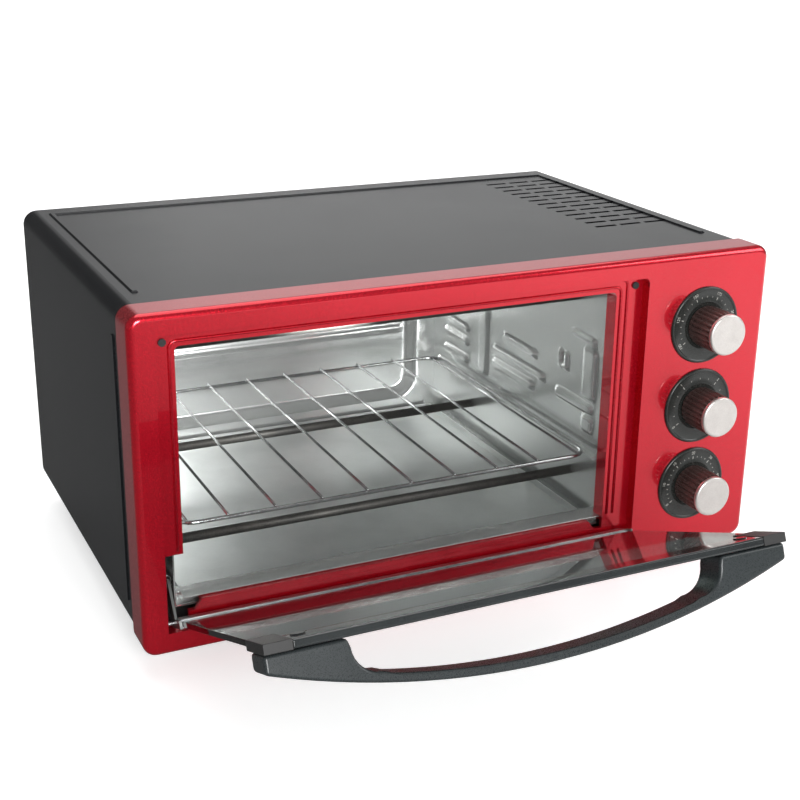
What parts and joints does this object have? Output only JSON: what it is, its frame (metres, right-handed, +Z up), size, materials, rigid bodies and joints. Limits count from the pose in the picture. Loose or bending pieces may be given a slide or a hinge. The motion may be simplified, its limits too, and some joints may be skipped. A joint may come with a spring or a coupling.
{
  "type": "compact electric oven",
  "caption": "Countertop electric oven with a bowed-handle glass door that drops forward, a wire rack in a steel chamber and a column of turning knobs beside it.",
  "frame": {"origin": "on the table top, under the middle of the oven's overall box with the door at its open stop", "axes": "+Z up, +Y towards the back of the oven, +X to the right as seen from the front, where the knobs are"},
  "size_m": [0.4, 0.4326, 0.208],
  "materials": {
    "red_paint": "metallic gloss",
    "black_paint": "satin",
    "galvanised_sheet": "dull spangled",
    "plain_steel": "satin",
    "chrome_wire": "bright",
    "rod_sheath": "dull",
    "door_glass": "clear tempered",
    "black_rail": "gloss",
    "handle_plastic": "semi-gloss",
    "dial_plastic": "gloss",
    "knob_plastic": "semi-gloss",
    "spun_metal": "circular brushed",
    "black_plastic": "matt",
    "ceramic": "unglazed",
    "rubber": "matt",
    "switch_body": "matt"
  },
  "bodies": {
    "cabinet": {"front_bezel": "red_paint", "outer_shell": "black_paint", "base_pan": "galvanised_sheet", "rear_cover": "black_paint", "cavity_left_wall": "galvanised_sheet", "cavity_right_wall": "galvanised_sheet", "cavity_back_wall": "galvanised_sheet", "cavity_ceiling": "galvanised_sheet", "cavity_floor": "galvanised_sheet", "crumb_tray": "plain_steel", "lower_front_element": "rod_sheath", "lower_rear_element": "rod_sheath", "upper_front_element": "rod_sheath", "upper_rear_element": "rod_sheath", "element_bushes": "ceramic", "heat_shield": "galvanised_sheet", "control_plate": "galvanised_sheet", "control_plate_screws": "plain_steel", "control_nuts": "plain_steel", "thermostat": "switch_body", "function_switch": "switch_body", "timer": "plain_steel", "timer_bell": "plain_steel", "terminal_block": "ceramic", "lead_grommet": "rubber", "rear_cover_screws": "plain_steel", "foot_front_left": "black_plastic", "foot_front_right": "black_plastic", "foot_rear_left": "black_plastic", "foot_rear_right": "black_plastic", "foot_screws": "plain_steel", "door_bumpers": "rubber", "door_spring": "plain_steel", "spring_anchor": "galvanised_sheet", "dial_top": "dial_plastic", "dial_middle": "dial_plastic", "dial_bottom": "dial_plastic"},
    "door": {"door_glass": "door_glass", "door_top_rail": "black_rail", "door_rail_caps": "black_plastic", "door_bottom_rail": "plain_steel", "hinge_bracket_left": "plain_steel", "hinge_bracket_right": "plain_steel", "hinge_pin_left": "plain_steel", "hinge_pin_right": "plain_steel", "door_handle": "handle_plastic", "handle_screws": "plain_steel"},
    "rack": {"wire_rack": "chrome_wire"},
    "knob_1": {"knob_top": "knob_plastic", "knob_cap_top": "spun_metal", "shaft_top": "plain_steel"},
    "knob_2": {"knob_middle": "knob_plastic", "knob_cap_middle": "spun_metal", "shaft_middle": "plain_steel"},
    "knob_3": {"knob_bottom": "knob_plastic", "knob_cap_bottom": "spun_metal", "shaft_bottom": "plain_steel"}
  },
  "joints": [
    {"name": "door_hinge", "type": "hinge", "parent": "cabinet", "child": "door", "pos_m": [-0.0385, -0.0558, 0.0315], "axis": [-1, 0, 0], "range_deg": [0, 67.4], "deforming": ["door_spring"]},
    {"name": "rack_slide", "type": "slide", "parent": "cabinet", "child": "rack", "axis": [0, -1, 0], "range_m": [-0.008, 0.01]},
    {"name": "thermostat_turn", "type": "hinge", "parent": "cabinet", "child": "knob_1", "pos_m": [0.155, -0.0689, 0.1625], "axis": [0, 1, 0], "range_deg": [0, 300]},
    {"name": "function_turn", "type": "hinge", "parent": "cabinet", "child": "knob_2", "pos_m": [0.155, -0.0689, 0.11025], "axis": [0, 1, 0], "range_deg": [0, 270]},
    {"name": "timer_turn", "type": "hinge", "parent": "cabinet", "child": "knob_3", "pos_m": [0.155, -0.0689, 0.058], "axis": [0, 1, 0], "range_deg": [0, 300]}
  ]
}
